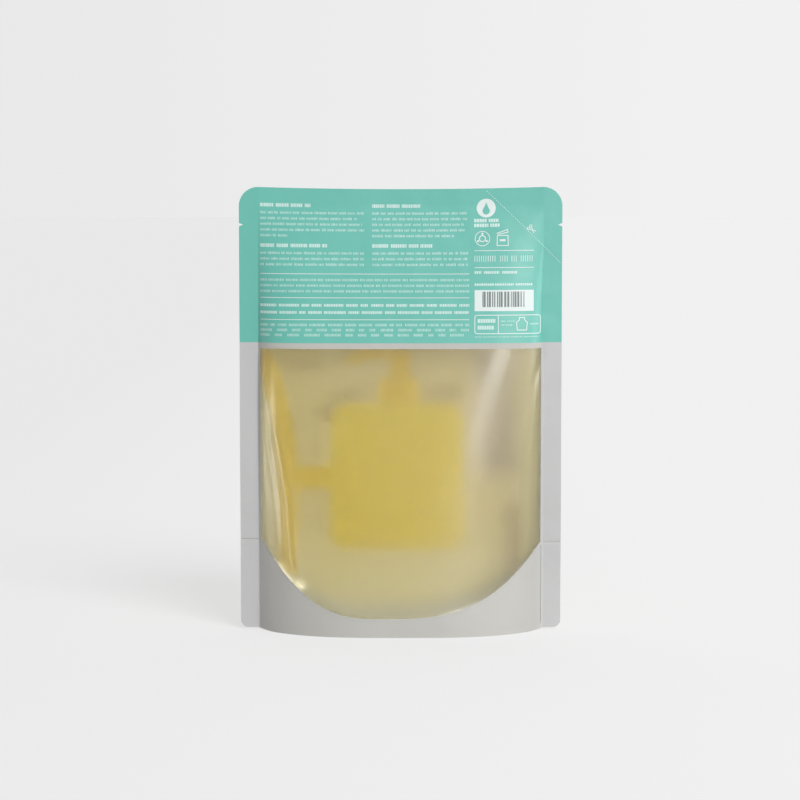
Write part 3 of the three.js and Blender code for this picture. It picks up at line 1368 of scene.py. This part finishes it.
def disc(s: float, t: float, radius: float, ink: Ink = Ink.LIGHT) -> Strip:
    """A filled circle: chords at the cosines of even angles.

    Args:
        s: Distance of its centre from the middle.
        t: Height of its centre.
        radius: Its radius.
        ink: What it is printed in.

    Returns:
        The disc.
    """
    angle = np.linspace(math.pi - HAIR, HAIR, 25)
    across, half = s + radius * np.cos(angle), radius * np.sin(angle)
    return Strip(np.stack([across, t - half], axis=-1), np.stack([across, t + half], axis=-1), ink)


def stroke(points: list[tuple[float, float]], wide: float, ink: Ink = Ink.LIGHT) -> Strip:
    """A line of even width through points, with each side pushed out along the mean normal.

    Args:
        points: Corners of the line. Points are laid between them FLAT_STEP apart.
        wide: Its width.
        ink: What it is printed in.

    Returns:
        The line.
    """
    corners = np.array(points, dtype=float)
    reach = np.concatenate([[0.0], np.cumsum(np.linalg.norm(np.diff(corners, axis=0), axis=1))])
    apart = 0.3
    extra = np.arange(FLAT_STEP, reach[-1] - apart, FLAT_STEP)
    if len(extra):
        extra = extra[np.min(np.abs(extra[:, None] - reach), axis=1) > apart]
    place = np.sort(np.concatenate([reach, extra]))
    path = np.stack([np.interp(place, reach, corners[:, axis]) for axis in (0, 1)], axis=-1)
    along = np.gradient(path, axis=0)
    steps = np.diff(path, axis=0)
    steps /= np.linalg.norm(steps, axis=1, keepdims=True)
    along[0], along[-1] = steps[0], steps[-1]
    along[1:-1] = steps[:-1] + steps[1:]
    along /= np.linalg.norm(along, axis=1, keepdims=True)
    miter = np.ones(len(path))
    miter[1:-1] = 1.0 / np.maximum(0.4, np.sum(along[1:-1] * steps[1:], axis=1))
    normal = np.stack([-along[:, 1], along[:, 0]], axis=-1) * (wide / 2.0 * miter)[:, None]
    return Strip(path - normal, path + normal, ink)


def ring(s: float, t: float, radius: float, wide: float, ink: Ink = Ink.LIGHT) -> Strip:
    """A circular line, open by a hair where its ends meet.

    Args:
        s: Distance of its centre from the middle.
        t: Height of its centre.
        radius: Its radius.
        wide: Width of the line.
        ink: What it is printed in.

    Returns:
        The ring.
    """
    angle = np.linspace(HAIR, 2.0 * math.pi - HAIR, 41)
    points = np.stack([s + radius * np.cos(angle), t + radius * np.sin(angle)], axis=-1)
    return stroke([tuple(point) for point in points], wide, ink)


@dataclass(frozen=True)
class TextBlock:
    """Lines of stand-in text: words made of plain upright strokes, which spell nothing.

    Attributes:
        left: Where its lines start.
        ends: Where each line ends.
        top: Height of the first line's middle.
        pitch: Distance from line to line.
        tall: Height of the strokes.
        words: Shortest and longest word.
        space: Gap between words.
        strokes: Narrowest and widest stroke.
        uneven: How much taller some of the strokes are.
        ink: What it is printed in.
        gap: Gap between strokes.
    """

    left: float
    ends: tuple[float, ...]
    top: float
    pitch: float
    tall: float = 1.1
    words: tuple[float, float] = (1.4, 6.0)
    space: float = 0.8
    strokes: tuple[float, float] = (0.22, 0.5)
    uneven: float = 0.5
    ink: Ink = Ink.FINE
    gap: float = 0.26

    def strips(self, chance: np.random.Generator) -> list[Strip]:
        """Breaks every line into words, and every word into strokes.

        Args:
            chance: The source of the lengths.

        Returns:
            One bar a stroke.
        """
        made = []
        for row, end in enumerate(self.ends):
            place, t = self.left, self.top - row * self.pitch
            while place < end - 0.5:
                stop = min(end, place + chance.uniform(*self.words))
                if end - stop < self.words[0]:
                    stop = end
                while place < stop - 0.15:
                    wide = min(chance.uniform(*self.strokes), stop - place)
                    extra = self.uneven * max(0.0, chance.uniform(-1.0, 0.6))
                    made.append(bar(place, place + wide, t + extra / 2.0, self.tall + extra,
                                    self.ink))
                    place += wide + self.gap
                place = stop + self.space
        return made


def heading(left: float, ends: tuple[float, ...], top: float, pitch: float = 2.8,
            tall: float = 1.75, words: tuple[float, float] = (3.0, 9.0), space: float = 1.0,
            strokes: tuple[float, float] = (0.45, 0.95), gap: float = 0.22) -> TextBlock:
    """Lines of stand-in capitals: broad strokes of one height in the bolder ink."""
    return TextBlock(left, ends, top, pitch, tall, words, space, strokes, 0.0, Ink.BOLD, gap)


@dataclass
class PrintedMarks:
    """The rear panel's light print: columns of stand-in text, plain icons and a cutting line, with
    fine lines of painted shade at the gusset's fold and the right seal.

    Attributes:
        form: The pouch's shape.
        materials: Its finishes in the order of Ink.
        rise: How far the whole print is moved up.
        lift: How far the ink stands off the film, and again for ink over ink.
        thick: Thickness of the ink.
    """

    form: PouchForm
    materials: list[bpy.types.Material]
    rise: float = 0.6
    lift: float = 0.03
    thick: float = 0.02

    def _text(self) -> list[Strip]:
        """The columns of text under short headings, with rules between.

        Returns:
            The strokes and the rules.
        """
        chance = np.random.default_rng(7)
        left, second, right, edge = -69.4, -14.0, 36.5, 65.9
        blocks = (
            heading(left, (-44.5,), 211.4),
            TextBlock(left, (-18.2, -21.6, -18.7, -17.7, -56.0), 207.6, 2.83),
            heading(left, (-36.1,), 191.4),
            TextBlock(left, (-17.9, -18.0, -17.8), 187.6, 2.83),
            heading(second, (9.7,), 211.4, words=(4.0, 10.0)),
            TextBlock(second, (33.1, 32.8, 31.1, 31.6, 26.6), 207.6, 2.83),
            heading(second, (15.7,), 191.4, words=(4.0, 10.0)),
            TextBlock(second, (33.4, 33.2, 33.4), 187.6, 2.83),
            TextBlock(left, (33.9,) * 3, 174.4, 2.8, 1.1, (2.0, 8.5), 0.8, uneven=0.1, gap=0.3),
            heading(left, (33.9,) * 2, 161.9, 3.55, 1.35, (3.0, 11.0), 1.2, (0.35, 0.8)),
            TextBlock(left, (33.9,), 152.2, 2.5, 1.25, (2.0, 9.0), 1.2, uneven=0.1),
            TextBlock(left, (33.9,) * 2, 149.7, 2.5, 1.25, (2.0, 8.0), 2.4, uneven=0.1),
            heading(right - 0.2, (48.5, 48.9), 203.9, 2.4, 1.7, (4.0, 8.0), 0.9, (0.8, 1.3)),
            heading(right, (46.8,), 184.9, 4.0, 3.0, (6.0, 8.0), 1.3, (0.3, 0.42), 0.75),
            heading(49.2, (edge,), 184.9, 4.0, 3.0, (3.0, 6.0), 1.5, (0.3, 0.42), 0.75),
            heading(right, (57.8,), 178.1, 3.0, 1.3, (3.0, 8.0), 1.3),
            heading(right, (edge - 0.8,), 172.1, 3.0, 1.15, (6.0, 10.0), 0.5, (0.6, 1.0)),
            heading(38.0, (46.8, 46.0), 154.2, 3.3, 1.9, (4.0, 9.0), 0.8, (0.8, 1.2)),
            TextBlock(49.4, (56.4, 55.2), 154.0, 1.9, 0.7, (2.0, 4.0), 0.6, uneven=0.1),
            TextBlock(64.0, (68.2,), 152.6, 1.9, 0.8, (2.0, 4.0), 0.6, uneven=0.1),
            TextBlock(right, (68.5,), 146.3, 3.0, 0.5, (3.0, 8.0), 0.4, uneven=0.0),
        )
        made = [strip for block in blocks for strip in block.strips(chance)]
        for t in (177.4, 165.6, 154.8):
            made.append(bar(left, 33.9, t, 0.3))
        for t in (188.9, 180.5):
            made.append(bar(right, edge, t, 0.32))
        return made

    def _barcode(self) -> list[Strip]:
        """A light panel with upright bars of uneven width and no digits.

        Returns:
            The panel and its bars.
        """
        chance = np.random.default_rng(11)
        made = [bar(36.5, 65.8, 164.2, 10.4)]
        place = 40.6
        while place < 61.6:
            wide = float(chance.choice((0.45, 0.6, 1.0)))
            made.append(stroke([(place, 161.0), (place, 168.6)], wide, Ink.DARK))
            place += wide + float(chance.choice((0.4, 0.5, 0.8)))
        return made

    def _icons(self) -> list[Strip]:
        """A disc with a drop, a ring with dots, an open jar, and a plate with a little pouch.

        Returns:
            Their shapes.
        """
        plate = [(37.6, 147.9), (68.2, 147.9), (68.9, 148.2), (69.2, 148.9), (69.2, 156.0),
                 (68.9, 156.7), (68.2, 157.0), (37.6, 157.0), (36.9, 156.7), (36.6, 156.0),
                 (36.6, 148.9), (36.9, 148.2), (37.7, 147.9)]
        jar = [(47.8, 196.4), (47.6, 191.4), (53.2, 191.4), (53.0, 196.4), (47.6, 196.4)]
        lid = [(47.4, 197.4), (52.8, 199.3), (53.1, 198.0), (47.9, 196.9)]
        pouch = [(57.6, 149.6), (57.2, 153.4), (58.6, 154.6), (58.6, 155.8), (61.2, 155.8),
                 (61.2, 154.6), (62.6, 153.4), (62.2, 149.6), (57.4, 149.6)]
        drop = Strip(np.array([(40.75, 209.6), (41.5, 211.0), (42.2, 212.9)]),
                     np.array([(43.85, 209.6), (43.1, 211.0), (42.4, 212.9)]), Ink.GROUND)
        return [
            disc(42.3, 210.1, 4.7),
            disc(42.3, 208.7, 1.8, Ink.GROUND),
            drop,
            ring(40.4, 194.9, 3.6, 0.35),
            ring(40.4, 194.9, 1.5, 0.5),
            disc(40.4, 197.3, 0.55),
            disc(38.3, 193.7, 0.55),
            disc(42.5, 193.7, 0.55),
            stroke(jar, 0.4),
            stroke(lid, 0.4),
            bar(49.0, 51.8, 194.0, 1.0),
            stroke(plate, 0.4),
            stroke([(48.2, 148.0), (48.2, 156.9)], 0.35),
            stroke(pouch, 0.4),
        ]

    def _cutting_line(self) -> list[Strip]:
        """Dashes from the top edge to the side edge, past a pair of scissors.

        Returns:
            The dashes, the blades and the handles.
        """
        start, end = np.array([42.3, 219.0]), np.array([79.2, 182.6])
        way = end - start
        length = float(np.linalg.norm(way))
        way = way / length
        made = []
        for place in np.arange(0.4, length - 0.6, 1.3):
            a, b = start + way * place, start + way * (place + 0.7)
            made.append(stroke([tuple(a), tuple(b)], 0.24))
        middle = np.array([64.9, 199.2])
        square = np.array([-way[1], way[0]])
        for turn in (-1.0, 1.0):
            tip = middle + way * 2.1 + square * turn * 0.75
            tail = middle - way * 1.0 - square * turn * 0.7
            made.append(stroke([tuple(tail), tuple(tip)], 0.36))
            made.append(ring(*(tail - way * 0.6 - square * turn * 0.1), 0.6, 0.3))
        return made

    def _fold_shade_lines(self) -> list[Strip]:
        """Painted shade lines along the gusset's fold across both side seals, and along the right
        seal's inner edge.

        Returns:
            Three fine lines of painted shade.
        """
        left, right = self.form.seal_edge(np.array([-self.form.inner, self.form.inner]))
        ends = self.form.inner + 0.4, self.form.half_width - 0.3
        return [
            bar(-ends[1], -ends[0], left - self.rise, 0.3, Ink.FOLD_SHADE),
            bar(ends[0], ends[1], right - self.rise, 0.3, Ink.FOLD_SHADE),
            # The right seal's inner edge: painted shade where the film bends away.
            stroke([(70.1, 2.0), (70.1, right - 2.0)], 0.45, Ink.FOLD_SHADE),
        ]

    def build(self) -> bpy.types.Object:
        """Lays every shape on the rear film as a thin closed skin, the print and the painted shade
        lines alike.

        Returns:
            The piece.
        """
        shapes = (self._text() + self._barcode() + self._icons() + self._cutting_line()
                  + self._fold_shade_lines())
        grids = [shape.grid() for shape in shapes]
        flat = np.concatenate([grid.reshape(-1, 2) for grid in grids])
        over = np.concatenate([np.full(grid.shape[0] * grid.shape[1],
                                       2.0 if shape.ink in (Ink.GROUND, Ink.DARK) else 1.0)
                               for grid, shape in zip(grids, shapes)]) * self.lift
        s, t = flat[:, 0], flat[:, 1] + self.rise
        under = self.form.surface(s, t, Side.REAR)
        out = self.form.outward(s, t, Side.REAR)
        outer = under + (over + self.thick)[:, None] * out
        inner = under + over[:, None] * out
        parts, start = [], 0
        for grid, shape in zip(grids, shapes):
            rows, columns = grid.shape[:2]
            cut = slice(start, start + rows * columns)
            start += rows * columns
            parts.append(shell(outer[cut].reshape(rows, columns, 3),
                               inner[cut].reshape(rows, columns, 3), grid / self.form.height,
                               np.full((rows - 1, columns - 1), shape.ink.value)))
        return make_piece("rear_print", joined(parts), self.materials)


# ---------------------------------------------------------------- studio


@dataclass(frozen=True)
class SheenLight:
    """A panel of light that only shows as a sheen and adds nothing to matt surfaces.

    Attributes:
        name: The light's name.
        place: Its centre. It faces the middle of the pack.
        size: Its width and height.
        power: Its power in watts.
    """

    name: str
    place: tuple[float, float, float]
    size: tuple[float, float]
    power: float

    def build(self) -> None:
        """Adds the light."""
        data = bpy.data.lights.new(self.name, "AREA")
        data.shape = "RECTANGLE"
        data.size, data.size_y = self.size
        data.energy = self.power
        light = bpy.data.objects.new(self.name, data)
        light.location = self.place
        aim = Vector((0.0, 0.0, self.place[2])) - Vector(self.place)
        light.rotation_euler = aim.to_track_quat("-Z", "Y").to_euler()
        light.visible_diffuse = False
        light.visible_camera = False
        bpy.context.scene.collection.objects.link(light)


@dataclass
class Studio:
    """Pale floor and surround, one soft key light from the right, and the camera.

    The surround is brighter behind the pack, which shines through it, and on the right.

    Attributes:
        camera_x: How far right of the pack's middle the camera stands.
        camera_height: Its height.
        distance: How far in front of the pack it stands.
        lens: Its focal length in millimetres.
        aim_height: Height that it looks at.
        backdrop: Strength of the surround where it is seen.
        ambient: Strength of the light it throws from the middle.
        lean: How much stronger that is from the right.
        drift: How much darker the backdrop and the floor are on the left.
        key: Strength of the key light.
        key_angle: How wide it is, in degrees.
        key_place: Where it shines from.
        floor_tone: How much light the floor throws back.
        floor_sky: Light that falls on the floor from the surround.
        sheens: The lights that only show as a sheen.
    """

    camera_x: float = -0.0003
    camera_height: float = 0.212
    distance: float = 1.2
    lens: float = 108.9
    aim_height: float = 0.1150
    backdrop: float = 0.86
    ambient: float = 0.42
    lean: float = 0.41
    drift: float = 0.042
    key: float = 2.55
    key_angle: float = 30.0
    key_place: tuple[float, float, float] = (0.5, -0.85, 0.75)
    floor_tone: float = 0.22
    floor_sky: float = 0.5
    sheens: tuple[SheenLight, ...] = (
        SheenLight("right_panel", (0.62, -1.15, 0.53), (0.7, 0.22), 4.4),
        SheenLight("far_panel", (1.15, -0.5, 0.38), (0.6, 0.5), 4.0),
        SheenLight("right_patch", (0.33, -1.27, 0.31), (0.17, 0.12), 0.75),
        SheenLight("left_strip", (-0.43, -0.28, 0.055), (0.08, 0.1), 0.15),
        SheenLight("left_edge", (-0.52, -0.06, 0.06), (0.06, 0.12), 0.12),
    )

    def build(self) -> None:
        """Builds the floor, the world, the lights and the camera."""
        scene = bpy.context.scene
        scene.view_settings.view_transform = "Standard"
        self._world(scene)
        self._floor()
        self._key_light()
        for sheen in self.sheens:
            sheen.build()
        self._camera(scene)

    def _world(self, scene: bpy.types.Scene) -> None:
        """The surround: backdrop where it is looked at and behind, else ambient + lean * x.

        Args:
            scene: The scene it is set in.
        """
        world = bpy.data.worlds.new("studio")
        scene.world = world
        world.use_nodes = True
        graph = Graph(world.node_tree)
        background = world.node_tree.nodes["Background"]
        seen = graph.add("LightPath").outputs["Is Camera Ray"]
        heading = graph.add("SeparateXYZ", Vector=graph.add("TexCoord").outputs["Generated"])
        behind = graph.add("MapRange", Value=heading.outputs[1], From_Min=0.1, From_Max=0.6)
        around = graph.math("MULTIPLY_ADD", heading.outputs[0], self.lean, self.ambient)
        gain = graph.math("SUBTRACT", self.backdrop, around)
        lit = graph.math("MULTIPLY_ADD", gain, behind.outputs[0], around)
        # Painted shade: the backdrop where it is seen is darker towards the left.
        view = graph.add("MapRange", Value=heading.outputs[0], From_Min=-0.13, From_Max=0.13,
                         To_Min=self.backdrop - self.drift, To_Max=self.backdrop + 0.02)
        strength = graph.add("Mix", Factor=seen)
        graph.put(strength, 2, lit)
        graph.put(strength, 3, view.outputs[0])
        background.inputs[0].default_value = (1.0, 1.0, 1.0, 1.0)
        graph.put(background, 1, strength.outputs[0])

    def _floor(self) -> None:
        """A wide floor as a grid of points, glowing enough to meet the surround unseen."""
        span = np.linspace(-40.0, 40.0, 9)
        x, y = np.meshgrid(span, span)
        points = np.stack([x, y, np.zeros_like(x)], axis=-1).reshape(-1, 3)
        mesh = bpy.data.meshes.new("floor")
        mesh.from_pydata(points.tolist(), [], grid_quads(9, 9).tolist())
        material, graph, shader = new_material("floor_paper")
        noise = graph.add("TexNoise", Scale=2.0, Detail=2.0)
        low, high = self.floor_tone * 0.98, self.floor_tone * 1.02
        tone = graph.mix(noise.outputs[0], (low, low, low, 1.0), (high, high, high, 1.0))
        graph.put(shader, "Base Color", tone)
        shader.inputs["Roughness"].default_value = 1.0
        shader.inputs["Specular IOR Level"].default_value = 0.0
        steep = self.key_place[2] / math.hypot(*self.key_place)
        lit = self.floor_sky + self.key * steep / math.pi
        glow = self.backdrop - self.floor_tone * lit
        # Painted shade: the floor's glow falls off towards the left.
        across = graph.add("SeparateXYZ", Vector=graph.add("TexCoord").outputs["Object"])
        drift = graph.add("MapRange", Value=across.outputs[0], From_Min=-0.35, From_Max=0.15,
                          To_Min=glow - 1.4 * self.drift, To_Max=glow + 0.005)
        shader.inputs["Emission Color"].default_value = (1.0, 1.0, 1.0, 1.0)
        graph.put(shader, "Emission Strength", drift.outputs[0])
        mesh.materials.append(material)
        floor = bpy.data.objects.new("floor", mesh)
        bpy.context.scene.collection.objects.link(floor)

    def _key_light(self) -> None:
        """A far, wide light that shines from its place towards the origin."""
        data = bpy.data.lights.new("key", "SUN")
        data.energy = self.key
        data.angle = math.radians(self.key_angle)
        light = bpy.data.objects.new("key", data)
        light.rotation_euler = (-Vector(self.key_place)).to_track_quat("-Z", "Y").to_euler()
        bpy.context.scene.collection.objects.link(light)

    def _camera(self, scene: bpy.types.Scene) -> None:
        """The camera, in front of the rear panel and a little above its middle.

        Args:
            scene: The scene it is set in.
        """
        data = bpy.data.cameras.new("camera")
        data.lens = self.lens
        data.sensor_width = 36.0
        camera = bpy.data.objects.new("camera", data)
        camera.location = (self.camera_x, -self.distance, self.camera_height)
        aim = Vector((self.camera_x, 0.0, self.aim_height)) - camera.location
        camera.rotation_euler = aim.to_track_quat("-Z", "Y").to_euler()
        scene.collection.objects.link(camera)
        scene.camera = camera


def main() -> None:
    """Builds every piece in order and reports it."""
    logging.basicConfig(level=logging.INFO, format="%(name)s %(message)s")
    effects = FilmEffects.build()
    form = PouchForm()
    form.creases = {
        Side.REAR: (
            Crease((-61.5, -63.3, -65.3, -66.8, -68.5), (44.0, 64.0, 84.0, 104.0, 124.0), 1.0, 0.3),
            Crease((-58.0, -59.5, -62.0, -65.0), (40.0, 64.0, 84.0, 100.0), 1.2, -0.32),
            Crease((-53.5, -55.3, -56.3, -59.3, -62.5), (30.0, 44.0, 64.0, 84.0, 100.0), 1.5, 0.45),
            Crease((57.5, 58.0, 59.0, 61.5, 66.0, 70.0),
                   (29.0, 60.0, 84.0, 104.0, 124.0, 138.0), 1.8, -0.7),
            Crease((63.5, 64.5, 66.5), (40.0, 90.0, 124.0), 1.4, 0.35),
            Crease((-70.2, -70.2), (8.0, 138.0), 0.5, 0.16, 5.0),
            Crease((70.2, 70.2), (8.0, 138.0), 0.5, 0.16, 5.0),
        ),
    }
    teal = PlainFilm("teal_ink", linear(99, 177, 164), linear(93, 170, 157), 0.34, coat=0.08)
    frost = PlainFilm("frosted_film", linear(181, 181, 181), linear(175, 175, 175), 0.45,
                      behind=linear(171, 170, 165))
    inks = [teal.make(effects), frost.make(effects)]
    rear = FilmPanel(form, Side.REAR, [*inks, ClearFilm().make(effects)])
    milky = PicturedFilm("milky_film", linear(236, 236, 230), boxes=()).make(effects)
    front = FilmPanel(form, Side.FRONT, [inks[0], milky, PicturedFilm().make(effects)],
                      print_foot=159.0, window_top=156.0)
    rear.build()
    front.build()
    light = PlainFilm("light_ink", linear(208, 217, 215), linear(202, 212, 210), 0.42)
    bold = PlainFilm("bold_ink", linear(192, 216, 211), linear(186, 212, 207), 0.42)
    fine = PlainFilm("fine_ink", linear(174, 208, 202), linear(168, 204, 197), 0.42)
    dark = PlainFilm("dark_ink", linear(112, 118, 117), linear(104, 111, 110), 0.42)
    # Painted shade for the dark lines at the gusset's fold and the right seal's inner edge.
    fold = PlainFilm("fold_shade_line", linear(150, 150, 148), linear(146, 146, 144), 0.5)
    PrintedMarks(form, [light.make(effects), inks[0], fine.make(effects), dark.make(effects),
                        bold.make(effects), fold.make(effects)]).build()
    base_film = PlainFilm("base_film", linear(236, 236, 230), linear(230, 230, 224), 0.4,
                          alpha=0.35)
    gusset = BottomGusset(form, base_film.make(effects))
    gusset.build()
    SoapFill(form, gusset, SoapLiquid().make(effects)).build()
    Studio().build()


if __name__ == "__main__":
    main()
